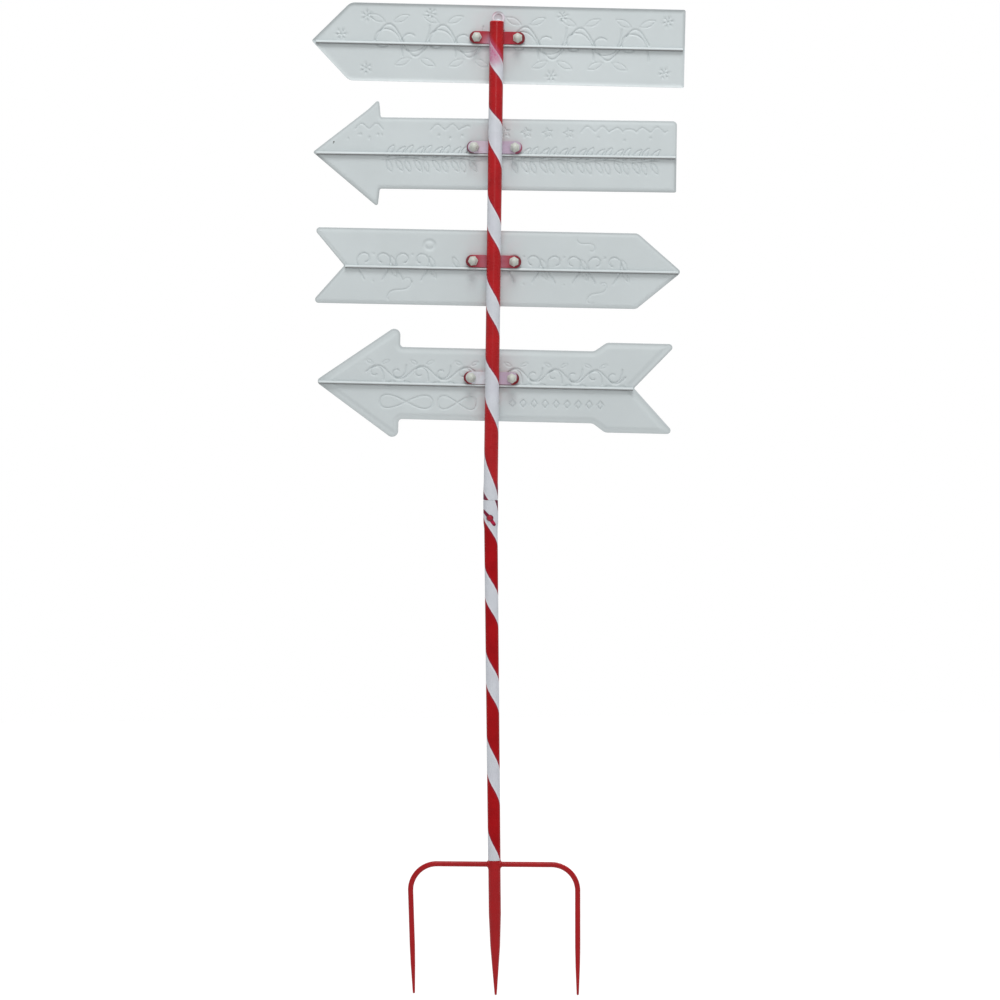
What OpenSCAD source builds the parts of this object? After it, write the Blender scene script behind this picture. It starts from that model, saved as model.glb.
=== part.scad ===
// Christmas signpost: four pressed sheet signs bolted to a striped tube pole in two sections,
// on a three-point ground fork.
// Millimetres. +Z is up along the lower pole, and the origin is on its axis at the shoulder
// under the fork bar, where the ground comes up to.
// The signs' backs and the pole face -Y, and the signs' fronts face +Y.

/* [Pole] */
// Outside diameter of the upper tube
upper_d = 16; // [14.6:0.1:16.2]
// Outside diameter of the lower tube just under its bell
lower_head_d = 15.2; // [13.9:0.1:16.2]
// Outside diameter of the lower tube at the fork
lower_foot_d = 14.2; // [12.8:0.1:15]
// Wall of both tubes
tube_wall = 1.2; // [0.8:0.1:1.6]
// Height of the joint's seam above the ground shoulder
seam_z = 416.8; // [250:0.1:600]
// Length of the upper tube above the seam
upper_len = 539.2; // [539:0.2:640]
// Thickness of the cap's head on top of the upper tube
cap_h = 2; // [1.5:0.1:2]
// Length of the cap's stem inside the tube
cap_stem = 10; // [5:1:20]

/* [Joint] */
// Outside diameter of the bells on both tubes
bell_d = 16.7; // [16.6:0.1:18]
// Straight length of the upper tube's bell
upper_bell = 13; // [8:1:20]
// Straight length of the lower tube's bell
lower_bell = 25; // [25:1:40]
// Length of each bell's cone
bell_cone = 7; // [3:1:12]
// Radial clearance of the sleeve in the bells
sleeve_gap = 0.4; // [0.35:0.05:0.7]
// Lean of the upper tube in the joint, in degrees
joint_lean = 1.33; // [0:0.01:1.4]
// Distance of the rivet under the seam
rivet_drop = 20; // [12:0.5:20.5]
// Turn of the rivet round the pole from the middle of the back, in degrees
rivet_turn = -8; // [-20:1:20]
// Diameter of the rivet's head
rivet_head_d = 8.4; // [6:0.1:9]
// Height of the rivet's head above the bell
rivet_head_h = 2.2; // [1:0.1:3]
// Diameter of the rivet's shank
rivet_d = 4; // [3:0.1:5]

/* [Fork] */
// Diameter of the fork bar
bar_d = 6; // [4:0.1:7]
// Distance between the axes of the two outer prongs at the bends
fork_span = 188.8; // [120:0.2:260]
// Radius of the bar's axis in the bends
bend_r = 29.5; // [15:0.5:40]
// Length of the left prong below its bend, measured along its axis
left_prong_len = 116; // [80:1:160]
// Length of the right prong below its bend, measured along its axis
right_prong_len = 118; // [80:1:160]
// Length of the taper at the end of each outer prong
prong_taper = 54; // [20:1:80]
// Diameter of all three tips
tip_d = 2.6; // [1.5:0.1:4]
// Tilt of the fork bar on the spike, in degrees
bar_tilt = 1.05; // [0:0.05:2]
// Inward turn of the left prong past square, in degrees
left_toe = 2.3; // [-3:0.1:4]
// Inward turn of the right prong past square, in degrees
right_toe = -0.5; // [-3:0.1:4]
// Diameter of the centre spike
spike_d = 13.9; // [12.4:0.1:14.6]
// Straight length of the centre spike below the ground shoulder
spike_straight = 50; // [30:1:80]
// Length of the centre spike's point
spike_point = 92.4; // [60:0.2:140]
// Length of the spike's shank inside the tube
spike_shank = 22; // [10:1:40]
// Leg of the weld beads between bar and spike
weld_leg = 2.2; // [1:0.1:4]

/* [Signs] */
// Thickness of the sheet
sheet_t = 0.8; // [0.5:0.05:1.2]
// Depth of the turned lip behind sign 1
lip_h = 1.8; // [1:0.1:2.6]
// Distance from each strap's centre line down to its sign's centre line
sign_drop = 7.7; // [4:0.1:12]
// Diameter of the stiffening rods
rod_d = 3.5; // [2:0.1:3.6]
// Length of sign 1, from its point to its square end
sign1_len = 422.9; // [300:0.1:520]
// Height of sign 1
sign1_h = 88.6; // [70:0.2:110]
// Length of sign 2, from its point to its square end
sign2_len = 412.3; // [300:0.1:520]
// Height of sign 2's body
sign2_h = 81; // [66:0.2:100]
// Height of sign 2 across its barbs
sign2_barb_h = 122.4; // [104:0.2:160]
// Length of sign 3, from its swallowtail to its point
sign3_len = 419.6; // [300:0.2:520]
// Height of sign 3
sign3_h = 85.8; // [70:0.2:110]
// Length of sign 4, from its point to its swallowtail
sign4_len = 409.5; // [300:0.1:520]
// Height of sign 4's body
sign4_h = 81.8; // [66:0.2:100]
// Height of sign 4 across its barbs
sign4_barb_h = 123; // [108:0.2:160]
// Height of sign 4's flared tail
sign4_tail_h = 102; // [90:0.2:130]

/* [Straps and bolts] */
// Thickness of the straps and of the hanging eye
strap_t = 3.9; // [3.9:0.1:5]
// Width of the straps
strap_w = 14; // [12:0.1:14.6]
// Length of the straps over their round ends
strap_len = 62.8; // [58:0.2:90]
// Distance between the two bolts of a strap
bolt_spacing = 46.2; // [42:0.2:48]
// Diameter of the bolts
bolt_d = 5.8; // [4:0.1:6.4]
// Radial clearance of the bolts in the straps and signs
bolt_gap = 0.3; // [0.1:0.05:0.5]
// Width across the flats of the cap nuts
nut_af = 10; // [9:0.5:12]
// Height of the cap nuts' hexagon
nut_hex_h = 5; // [3:0.5:7]
// Outside diameter of the cap nuts' dome
nut_dome_d = 8.2; // [7.6:0.1:9]
// Height of the cap nuts over the dome
nut_h = 10.5; // [9:0.5:14]
// Diameter of the bolts' round heads
head_d = 12; // [9:0.5:14]
// Height of the bolts' round heads
head_h = 3.2; // [2:0.1:5]
// Diameter of the hanging eye
eye_d = 14.6; // [12:0.1:18]
// Diameter of the hole in the hanging eye
eye_hole_d = 9.4; // [5:0.1:9.5]
// Height of the hole's centre above the top of the tube
eye_rise = 6.8; // [6.8:0.1:12]
// Sideways place of the hanging eye on the pole
eye_shift = 1.7; // [-4:0.1:4]

/* [Stripe] */
// Thickness of the white stripe's paint
stripe_t = 0.15; // [0.1:0.05:0.2]

/* [Hidden] */
$fn = 64;
SIGNS = [1, 2, 3, 4];
SIDES = ["left", "right"];
SIGN_PARTS = ["sheet", "rod", "strap"];

// Paint colours
RED = [0.64, 0.07, 0.09];
WHITE = [0.85, 0.86, 0.87];
SHEET_WHITE = [0.80, 0.83, 0.83];
NUT_WHITE = [0.86, 0.87, 0.83];

// Heights of the four straps' centre lines above the seam, from sign 1 at the top down
STRAP_Z = [523.5, 399.3, 270.2, 138.1];
// Sideways place and clockwise tilt of each strap with its sign, as the post was put together
STRAP_X = [0.7, -0.8, -0.2, -0.9];
STRAP_TILT = [0.56, 0.03, 0.38, 0.56];
// How far each nut ended up turned, left and right, in degrees
NUT_TURN = [[0, 32], [4, 27], [8, 29], [6, 35]];
// Distance from each sign's point, or its swallowtail on sign 3, to the strap's centre
SIGN_LEFT = [210.2, 205.9, 206.1, 200];
// Depth of each sign's lip, and width and depth of its pressed border
LIP_H = [lip_h, 0, 0, 0];
BORDER_W = [0, 3, 3, 6];
BORDER_H = [0, 0.5, 0.5, 0.8];

// Length of the points of signs 1 and 3, and radius of the corners behind them
sign1_point = 43.3;
sign1_shoulder_r = 13;
sign3_point = 50.8;
sign3_shoulder_r = 8;
// Depth of the swallowtails, and radius of their tips and notches
sign3_notch = 37;
sign4_notch = 47.7;
tail_r = 4;
notch_r = 1.4;
// Radius of the signs' points and square corners
point_r = 2;
square_r = 2;
// Lengths of the arrowheads of signs 2 and 4
sign2_head = 76.6;
sign4_head = 95.8;
// The upper edge of sign 2's head bows out at this length and height
sign2_bow = [62.4, 49.4];
bow_r = 22;
// Lean and radius of sign 2's barbs, and radius of its upper square corner
sign2_barb_lean = 2.2;
sign2_barb_r = 2.2;
sign2_corner_r = 5;
// Radius of sign 4's barbs, how far their corners lie outside them, and radius of the hollows
barb_r = 7;
barb_over = 6.3;
hollow_r = 4;
// Length of sign 4's flared tail and of the slope up to it, and the radius of both ends of it
tail_len = 79.6;
tail_slope = 14;
slope_r = 9;

upper_r = upper_d / 2;
bell_r = bell_d / 2;
sleeve_r = bell_r - tube_wall - sleeve_gap;
sleeve_wall = 1.5;
// The tilted rim would cut into the lower one, so the upper pole is lifted by this much
seam_lift = bell_r * sin(joint_lean);
// Running clearance of parts that slide into each other
slip = 0.1;
// The fork bar passes through the collar of the spike. It lies so high that the weld beads stay
// above the shoulder, and the collar reaches a little above it
bar_r = bar_d / 2;
bead_room = 0.3;
bar_z = bar_r + weld_leg + bead_room;
collar_rim = 1.1;
collar_h = bar_z + bar_r + collar_rim;
collar_step = 0.2;
collar_r = spike_d / 2 + collar_step;
// Where the points of spike and prongs have their waist, as a share of their length, and its
// radius as a share of the bar's
waist_at = 0.4;
spike_waist = 0.8;
prong_waist = 0.85;
// Step of the arcs that round the tips, in degrees
tip_step = 15;
// The bar swells this much in its bends, over laps with its straight stretches
bend_swell = 0.03;
bend_lap = 0.5;
// Overlap of cutting shapes past the face they cut
cut = 1;
// The rod lies just under the strap, and stops this far inside a square end or a notch
rod_strap_gap = 0.1;
rod_drop = strap_w / 2 + rod_d / 2 + rod_strap_gap;
rod_end_gap = 1.2;
// Drop and inset of the cone that turns off the cap nuts' corners
nut_chamfer = 1.2;
nut_facing = 0.15;
// A rod stops this many of its own diameters short of a point
point_room = 1.25;
// Clearance of the hanging eye's foot over sign 1's strap
eye_foot_gap = 2;
// Upset tail of the joint's rivet
tail_flange = 0.8;
tail_h = 1.2;
// Clearance of straps, rivet, eye and welds from the stripe's edges
paint_room = 0.3;
// The stripe's rings a turn, and how far its facets keep off the tube
stripe_steps = 30;
stripe_clear = 0.02;
// The arcs that round the signs' corners have a point every so many degrees
corner_step = 12;

// Edges of the stripe, a turn apart and from the top down: where each crosses the back's centre
// line, as a height above the seam, and how far it drops from there to the side. They were
// masked by hand, so the turns differ. The first turn is above the tube.
stripe_side = 0.21;
UPPER_STRIPE_TOPS = [
    [580, 14], [506.6, 14.3], [433.5, 11], [328.2, 17.3], [234.5, 17.8], [145.1, 14.6], [27.9, 25], [-65, 20]
];
UPPER_STRIPE_ENDS = [
    [570, 14], [482.3, 13], [390.9, 16.8], [293, 16.4], [202.4, 16.8], [96.6, 19.8], [-3, 13.7], [-105, 20]
];
LOWER_STRIPE_TOPS = [
    [105, 20], [26, 51], [-91.2, 16.1], [-187.4, 16.7], [-285.6, 18.4], [-390.9, 18.4], [-491, 20]
];
LOWER_STRIPE_ENDS = [
    [60, 14], [-35.4, 16.9], [-126, 16.2], [-223.4, 16.7], [-325.7, 17.6], [-427, 20], [-525, 20]
];

// Puts its children in the frame of the leaning upper pole, with Z up from the seam
module on_upper() {
    translate([0, 0, seam_z + seam_lift]) rotate([0, joint_lean, 0]) children();
}

// Puts its children on sign i: X to the right and Y up from the strap's centre as the back is
// seen, and Z out of the back, from the plane where strap and sheet meet
module on_sign(i) {
    on_upper() translate([STRAP_X[i - 1], upper_r + strap_t, STRAP_Z[i - 1]])
        rotate([0, STRAP_TILT[i - 1], 0]) rotate([90, 0, 0]) children();
}

// Turned tube from [height, outside radius] steps, with a constant wall
module stepped_tube(steps) {
    outer = [for (s = steps) [s[1], s[0]]];
    inner = [for (k = [len(steps) - 1:-1:0]) [steps[k][1] - tube_wall, steps[k][0]]];
    rotate_extrude() polygon(concat(outer, inner));
}

// Round disc on z = 0 whose top is domed down to a sharp edge at the bottom
module domed_disc(d, h) {
    sphere_r = (pow(d / 2, 2) + pow(h, 2)) / (2 * h);
    rotate_extrude() intersection() {
        translate([0, h - sphere_r]) circle(r = sphere_r);
        square([d / 2, h]);
    }
}

UPPER_STEPS = [
    [0, bell_r],
    [upper_bell, bell_r],
    [upper_bell + bell_cone, upper_r],
    [upper_len, upper_r]
];
LOWER_STEPS = [
    [collar_h, lower_foot_d / 2],
    [seam_z - lower_bell - bell_cone, lower_head_d / 2],
    [seam_z - lower_bell, bell_r],
    [seam_z, bell_r]
];

module upper_pole() {
    color(RED) on_upper() stepped_tube(UPPER_STEPS);
}

// Puts its children on the pole's axis at the rivet's height, with -Y towards the rivet
module on_rivet() {
    translate([0, 0, seam_z - rivet_drop]) rotate([0, 0, rivet_turn]) children();
}

// Round hole from the axis outwards where the rivet sits
module rivet_hole(r) {
    on_rivet() rotate([90, 0, 0]) cylinder(h = bell_d, r = r);
}

module lower_pole() {
    color(RED) difference() {
        stepped_tube(LOWER_STEPS);
        rivet_hole(rivet_d / 2 + slip);
    }
}

module joint_sleeve() {
    color("silver") difference() {
        translate([0, 0, seam_z - lower_bell + slip])
            cylinder(h = lower_bell + upper_bell - 2 * slip, r = sleeve_r);
        translate([0, 0, seam_z - lower_bell - cut])
            cylinder(h = lower_bell + upper_bell + 2 * cut, r = sleeve_r - sleeve_wall);
        rivet_hole(rivet_d / 2 + slip);
    }
}

// Domed rivet: its head sits on the bell, and its tail is upset inside the sleeve
module joint_rivet() {
    tail_r = rivet_d / 2 + tail_flange;
    bore_y = sqrt(pow(sleeve_r - sleeve_wall, 2) - pow(tail_r, 2));
    color(RED) on_rivet() {
        difference() {
            rotate([90, 0, 0]) translate([0, 0, bell_r - rivet_head_h])
                domed_disc(rivet_head_d, 2 * rivet_head_h);
            translate([0, 0, -rivet_head_d]) cylinder(h = 2 * rivet_head_d, r = bell_r);
        }
        rotate([90, 0, 0]) rotate_extrude() polygon([
            [0, bore_y - tail_h], [tail_r, bore_y - tail_h], [tail_r, bore_y],
            [rivet_d / 2, bore_y], [rivet_d / 2, bell_r + cut], [0, bell_r + cut]
        ]);
    }
}

module top_cap() {
    stem_r = upper_r - tube_wall - slip;
    edge_r = 1.4;
    color(RED) on_upper() translate([0, 0, upper_len]) rotate_extrude() union() {
        translate([0, -cap_stem]) square([stem_r, cap_stem + cap_h / 2]);
        square([upper_r - edge_r, cap_h]);
        square([upper_r, cap_h - edge_r]);
        translate([upper_r - edge_r, cap_h - edge_r]) intersection() {
            circle(r = edge_r);
            square(edge_r);
        }
    }
}

// Flat bar with a round end, welded behind the top of the pole above sign 1's strap
module hanging_eye() {
    foot = STRAP_Z[0] + strap_w / 2 + eye_foot_gap;
    eye_z = upper_len + eye_rise;
    color(WHITE) on_upper() translate([eye_shift, upper_r + strap_t, 0]) rotate([90, 0, 0])
        linear_extrude(strap_t) difference() {
            union() {
                translate([0, eye_z]) circle(d = eye_d);
                translate([-eye_d / 2, foot]) square([eye_d, eye_z - foot]);
            }
            translate([0, eye_z]) circle(d = eye_hole_d);
        }
}

// Half outline of a bar that is straight, then drawn to a round tip, as [radius, depth] steps
function drawn_point(r, waist, depths) = concat(
    [[r, depths[0]], [waist, depths[1]]],
    [for (a = [0:tip_step:90]) [tip_d / 2 * cos(a), depths[2] - tip_d / 2 * (1 - sin(a))]]
);

// Turned spike: shank in the tube, collar for the bar, straight stretch and drawn point
module centre_spike() {
    shank_r = lower_foot_d / 2 - tube_wall - slip;
    r = spike_d / 2;
    waist_z = spike_straight + spike_point * waist_at;
    point = drawn_point(r, r * spike_waist, [spike_straight, waist_z, spike_straight + spike_point]);
    color(RED) difference() {
        rotate_extrude() polygon(concat(
            [
                [0, collar_h + spike_shank], [shank_r, collar_h + spike_shank],
                [shank_r, collar_h], [collar_r, collar_h], [collar_r, 0], [r, 0]
            ],
            [for (p = point) [p[0], -p[1]]]
        ));
        on_bar() rotate([0, 90, 0]) cylinder(h = 4 * collar_r, r = bar_r + slip, center = true);
    }
}

// Frame of the fork bar: its middle on the pole's axis, X along the bar
module on_bar() {
    translate([0, 0, bar_z]) rotate([0, bar_tilt, 0]) children();
}

// Bend and prong at the right-hand end of the bar
module bar_end(toe, prong_len) {
    taper_z = prong_len - prong_taper;
    translate([fork_span / 2 - bend_r, 0, -bend_r]) {
        rotate([90, 0, 0]) rotate([0, 0, -toe])
            rotate_extrude(angle = 90 + toe) translate([bend_r, 0]) circle(r = bar_r + bend_swell);
        rotate([0, toe, 0]) translate([bend_r, 0, 0]) rotate([180, 0, 0]) rotate_extrude()
            polygon(concat(
                [[0, -bend_lap], [bar_r, -bend_lap]],
                drawn_point(
                    bar_r, bar_r * prong_waist, [taper_z, taper_z + prong_taper * waist_at, prong_len]
                )
            ));
    }
}

module fork_bar() {
    color(RED) on_bar() {
        rotate([0, 90, 0])
            cylinder(h = fork_span - 2 * bend_r + 2 * bend_lap, r = bar_r, center = true);
        bar_end(right_toe, right_prong_len);
        mirror([1, 0, 0]) bar_end(left_toe, left_prong_len);
    }
}

// Hollow-faced bead round the bar, from the spike's side outwards
module fork_weld(direction) {
    bead_r = bar_r + weld_leg;
    root_x = sqrt(pow(spike_d / 2, 2) - pow(bead_r, 2)) - cut;
    color(RED) difference() {
        on_bar() rotate([0, direction * 90, 0]) rotate_extrude() difference() {
            translate([bar_r + slip / 2, root_x])
                square([weld_leg - slip / 2, collar_r + weld_leg - root_x]);
            translate([bead_r, collar_r + weld_leg]) circle(r = weld_leg);
        }
        translate([0, 0, -bead_r]) cylinder(h = bead_r, r = spike_d / 2);
        cylinder(h = collar_h, r = collar_r);
        translate([0, 0, collar_h]) cylinder(h = bead_r, r = lower_foot_d / 2 + paint_room);
    }
}

// Outlines of the signs, as [x, y, radius] corners with the centre line at y = 0 and the strap's
// centre at x = 0

// Corners of the upper half from left to right, with the same ones below the centre line
function both_sides(upper) = concat(
    upper,
    [for (k = [len(upper) - 1:-1:0]) if (upper[k][1] > 0) [upper[k][0], -upper[k][1], upper[k][2]]]
);

function outline1() = let (left = -SIGN_LEFT[0], h = sign1_h / 2) both_sides([
    [left, 0, point_r],
    [left + sign1_point, h, sign1_shoulder_r],
    [left + sign1_len, h, square_r]
]);

function outline2() = let (
    left = -SIGN_LEFT[1],
    right = left + sign2_len,
    back = left + sign2_head,
    barb = sign2_barb_h / 2,
    h = sign2_h / 2
) [
    [left, 0, point_r],
    [left + sign2_bow[0], sign2_bow[1], bow_r],
    [back - sign2_barb_lean, barb, sign2_barb_r],
    [back, h, sign2_barb_r],
    [right, h, sign2_corner_r],
    [right, -h, square_r],
    [back, -h, sign2_barb_r],
    [back - sign2_barb_lean, -barb, sign2_barb_r]
];

function outline3() = let (left = -SIGN_LEFT[2], right = left + sign3_len, h = sign3_h / 2) both_sides([
    [left + sign3_notch, 0, notch_r],
    [left, h, tail_r],
    [right - sign3_point, h, sign3_shoulder_r],
    [right, 0, tail_r]
]);

function outline4() = let (
    left = -SIGN_LEFT[3],
    right = left + sign4_len,
    back = left + sign4_head,
    tail_x = right - tail_len,
    h = sign4_h / 2,
    tail = sign4_tail_h / 2
) both_sides([
    [left, 0, point_r],
    [back, sign4_barb_h / 2 + barb_over, barb_r],
    [back, h, hollow_r],
    [tail_x - tail_slope, h, slope_r],
    [tail_x, tail, slope_r],
    [right, tail, tail_r],
    [right - sign4_notch, 0, notch_r]
]);

OUTLINES = [outline1(), outline2(), outline3(), outline4()];

function unit(v) = v / norm(v);

// Points of the arc that rounds a corner between its two neighbours
function rounding(before, corner, after) = let (
    middle = [corner[0], corner[1]],
    a = unit([before[0], before[1]] - middle),
    b = unit([after[0], after[1]] - middle),
    half = acos(a * b) / 2,
    centre = middle + unit(a + b) * corner[2] / sin(half),
    from = middle + a * corner[2] / tan(half) - centre,
    to = middle + b * corner[2] / tan(half) - centre,
    first = atan2(from[1], from[0]),
    sweep = (atan2(to[1], to[0]) - first + 540) % 360 - 180,
    steps = ceil(abs(sweep) / corner_step)
) [
    for (k = [0:steps]) let (angle = first + sweep * k / steps)
        centre + corner[2] * [cos(angle), sin(angle)]
];

module outline(i) {
    corners = OUTLINES[i - 1];
    n = len(corners);
    translate([0, -sign_drop]) polygon([
        for (k = [0:n - 1]) each rounding(corners[(k + n - 1) % n], corners[k], corners[(k + 1) % n])
    ]);
}

// Outline of sign i drawn in by a margin
module inner_outline(i, margin) {
    offset(delta = -margin) outline(i);
}

module bolt_places() {
    for (side = [-1, 1]) translate([side * bolt_spacing / 2, 0]) children();
}

// Pressed sheet: turned lip or border set towards the front, and the field that the strap meets
module sign_sheet(i) {
    press = BORDER_H[i - 1];
    border = BORDER_W[i - 1];
    lip = LIP_H[i - 1];
    front = press + sheet_t;
    color(SHEET_WHITE) on_sign(i) difference() {
        union() {
            difference() {
                translate([0, 0, -front]) linear_extrude(sheet_t + lip) outline(i);
                if (lip > 0) linear_extrude(lip + cut) inner_outline(i, sheet_t);
            }
            if (press > 0) translate([0, 0, -front]) linear_extrude(front)
                inner_outline(i, border);
        }
        if (press > 0) translate([0, 0, -front - cut]) linear_extrude(press + cut)
            inner_outline(i, border + sheet_t);
        bolt_places() translate([0, 0, -front - cut])
            cylinder(h = front + 2 * cut, r = bolt_d / 2 + bolt_gap);
    }
}

// Ends of sign i's centre line, at its point, square end or notch
function line_left(i) = -SIGN_LEFT[i - 1] + (i == 3 ? sign3_notch : 0);
function line_right(i) =
    i == 1 ? sign1_len - SIGN_LEFT[0] :
    i == 2 ? sign2_len - SIGN_LEFT[1] :
    i == 3 ? sign3_len - SIGN_LEFT[2] :
    sign4_len - SIGN_LEFT[3] - sign4_notch;

// The sheet leaves a rod less room in a point than at a square end or a notch
module sign_rod(i) {
    rim = LIP_H[i - 1] > 0 ? sheet_t : 0;
    at_point = rim + rod_d * point_room;
    at_end = rim + rod_end_gap;
    start = line_left(i) + (i == 3 ? at_end : at_point);
    stop = line_right(i) - (i == 3 ? at_point : at_end);
    color(SHEET_WHITE) on_sign(i) translate([start, -rod_drop, rod_d / 2])
        rotate([0, 90, 0]) cylinder(h = stop - start, d = rod_d);
}

module sign_strap(i) {
    straight = strap_len - strap_w;
    color(RED) on_sign(i) linear_extrude(strap_t) difference() {
        union() {
            square([straight, strap_w], center = true);
            for (side = [-1, 1]) translate([side * straight / 2, 0]) circle(d = strap_w);
        }
        bolt_places() circle(r = bolt_d / 2 + bolt_gap);
    }
}

// Round-headed bolt from the front, through sheet and strap into the cap nut
module sign_bolt(i, side) {
    color(NUT_WHITE) on_sign(i) translate([side * bolt_spacing / 2, 0, -sheet_t]) {
        cylinder(h = sheet_t + strap_t + nut_hex_h, d = bolt_d);
        mirror([0, 0, 1]) domed_disc(head_d, head_h);
    }
}

// Cap nut: hexagon with its top corners turned off, round dome and a blind hole for the bolt
module sign_nut(i, side) {
    corner = nut_af / 2 / cos(30);
    dome_r = nut_dome_d / 2;
    dome_z = nut_h - dome_r;
    turn = NUT_TURN[i - 1][side < 0 ? 0 : 1];
    color(NUT_WHITE) on_sign(i) translate([side * bolt_spacing / 2, 0, strap_t]) difference() {
        union() {
            intersection() {
                rotate([0, 0, turn]) cylinder(h = nut_hex_h, r = corner, $fn = 6);
                rotate_extrude() polygon([
                    [0, -cut], [corner + nut_chamfer, -cut],
                    [corner + nut_chamfer, nut_hex_h - nut_chamfer],
                    [nut_af / 2 - nut_facing, nut_hex_h], [0, nut_hex_h]
                ]);
            }
            rotate_extrude() {
                square([dome_r, dome_z]);
                translate([0, dome_z]) intersection() {
                    circle(r = dome_r);
                    square(dome_r);
                }
            }
        }
        translate([0, 0, -cut]) cylinder(h = nut_hex_h + 2 * cut, r = bolt_d / 2 + slip);
    }
}

// Height of a stripe's edge over the turns from the back's centre line, for lookup
function edge_line(edges, seam) = [
    for (k = [0:len(edges) - 1], side = [-1, 1])
    [k - 1 + side * stripe_side, seam + edges[k][0] - side * edges[k][1]]
];

// Stripe on the cone or cylinder between two [height, radius] steps, with its edges above the
// height of the seam. Seen from the back it falls from upper left to lower right.
module stripe_on(low, high, tops, ends, seam) {
    turns = len(tops) - 2;
    top_of = edge_line(tops, seam);
    end_of = edge_line(ends, seam);
    shortest = 0.6;
    rings = [
        for (k = [-stripe_steps / 2:turns * stripe_steps])
        let (
            t = k / stripe_steps,
            z0 = max(lookup(t, end_of), low[0]),
            z1 = min(lookup(t, top_of), high[0])
        )
        if (z1 - z0 > shortest) [t * 360, z0, z1]
    ];
    function radius(z) = (low[1] + (high[1] - low[1]) * (z - low[0]) / (high[0] - low[0]))
        / cos(180 / stripe_steps) + stripe_clear;
    function place(a, r, z) = [r * sin(a), -r * cos(a), z];
    points = [
        for (ring = rings) each [
            place(ring[0], radius(ring[1]), ring[1]),
            place(ring[0], radius(ring[1]) + stripe_t, ring[1]),
            place(ring[0], radius(ring[2]) + stripe_t, ring[2]),
            place(ring[0], radius(ring[2]), ring[2])
        ]
    ];
    last = 4 * (len(rings) - 1);
    sides = [
        for (k = [0:len(rings) - 2], e = [0:3])
        [4 * k + e, 4 * k + (e + 1) % 4, 4 * k + (e + 1) % 4 + 4, 4 * k + e + 4]
    ];
    polyhedron(points, concat([[0, 3, 2, 1]], sides, [[last, last + 1, last + 2, last + 3]]));
}

// The stripe was sprayed with the straps in place, so it stops at them
module upper_stripe() {
    color(WHITE) on_upper() difference() {
        for (k = [0:len(UPPER_STEPS) - 2])
            stripe_on(UPPER_STEPS[k], UPPER_STEPS[k + 1], UPPER_STRIPE_TOPS, UPPER_STRIPE_ENDS, 0);
        for (i = SIGNS) translate([STRAP_X[i - 1], upper_r, STRAP_Z[i - 1]])
            rotate([0, STRAP_TILT[i - 1], 0])
                cube([strap_w, 2 * paint_room, strap_w + 2 * paint_room], center = true);
        translate([eye_shift, upper_r, upper_len])
            cube([eye_d, 2 * paint_room, 2 * (upper_len - STRAP_Z[0])], center = true);
    }
}

module lower_stripe() {
    color(WHITE) difference() {
        for (k = [0:len(LOWER_STEPS) - 2])
            stripe_on(LOWER_STEPS[k], LOWER_STEPS[k + 1], LOWER_STRIPE_TOPS, LOWER_STRIPE_ENDS, seam_z);
        rivet_hole(rivet_head_d / 2 + paint_room);
    }
}

upper_pole();
lower_pole();
joint_sleeve();
joint_rivet();
top_cap();
hanging_eye();
centre_spike();
fork_bar();
fork_weld(-1);  // fork_weld_left
fork_weld(1);  // fork_weld_right
upper_stripe();
lower_stripe();
for (i = SIGNS) {
    sign_sheet(i);
    sign_rod(i);
    sign_strap(i);
    sign_bolt(i, -1);
    sign_bolt(i, 1);
    sign_nut(i, -1);
    sign_nut(i, 1);
}
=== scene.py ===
import bpy
import math
import numpy as np
from mathutils import Matrix, Vector
from mathutils.geometry import delaunay_2d_cdt


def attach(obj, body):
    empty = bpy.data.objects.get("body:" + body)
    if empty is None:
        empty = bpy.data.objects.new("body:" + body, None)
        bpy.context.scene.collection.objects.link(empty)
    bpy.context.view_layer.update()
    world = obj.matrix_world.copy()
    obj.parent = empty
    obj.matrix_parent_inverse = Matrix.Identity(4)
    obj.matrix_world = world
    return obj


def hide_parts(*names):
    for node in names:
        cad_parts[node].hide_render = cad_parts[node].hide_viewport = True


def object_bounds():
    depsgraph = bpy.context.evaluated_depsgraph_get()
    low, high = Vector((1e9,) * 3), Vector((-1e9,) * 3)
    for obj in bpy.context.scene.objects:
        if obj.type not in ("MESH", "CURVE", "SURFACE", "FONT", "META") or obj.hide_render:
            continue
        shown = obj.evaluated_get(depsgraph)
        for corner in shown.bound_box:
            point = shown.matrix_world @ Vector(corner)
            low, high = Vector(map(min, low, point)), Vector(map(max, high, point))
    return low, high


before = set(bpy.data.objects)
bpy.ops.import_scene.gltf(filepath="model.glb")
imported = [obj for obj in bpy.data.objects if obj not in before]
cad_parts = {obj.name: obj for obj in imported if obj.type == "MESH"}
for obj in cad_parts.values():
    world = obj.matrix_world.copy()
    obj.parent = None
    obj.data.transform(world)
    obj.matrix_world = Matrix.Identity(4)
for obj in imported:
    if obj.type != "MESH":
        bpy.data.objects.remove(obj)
cad_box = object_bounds()

MM = 0.001

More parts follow.
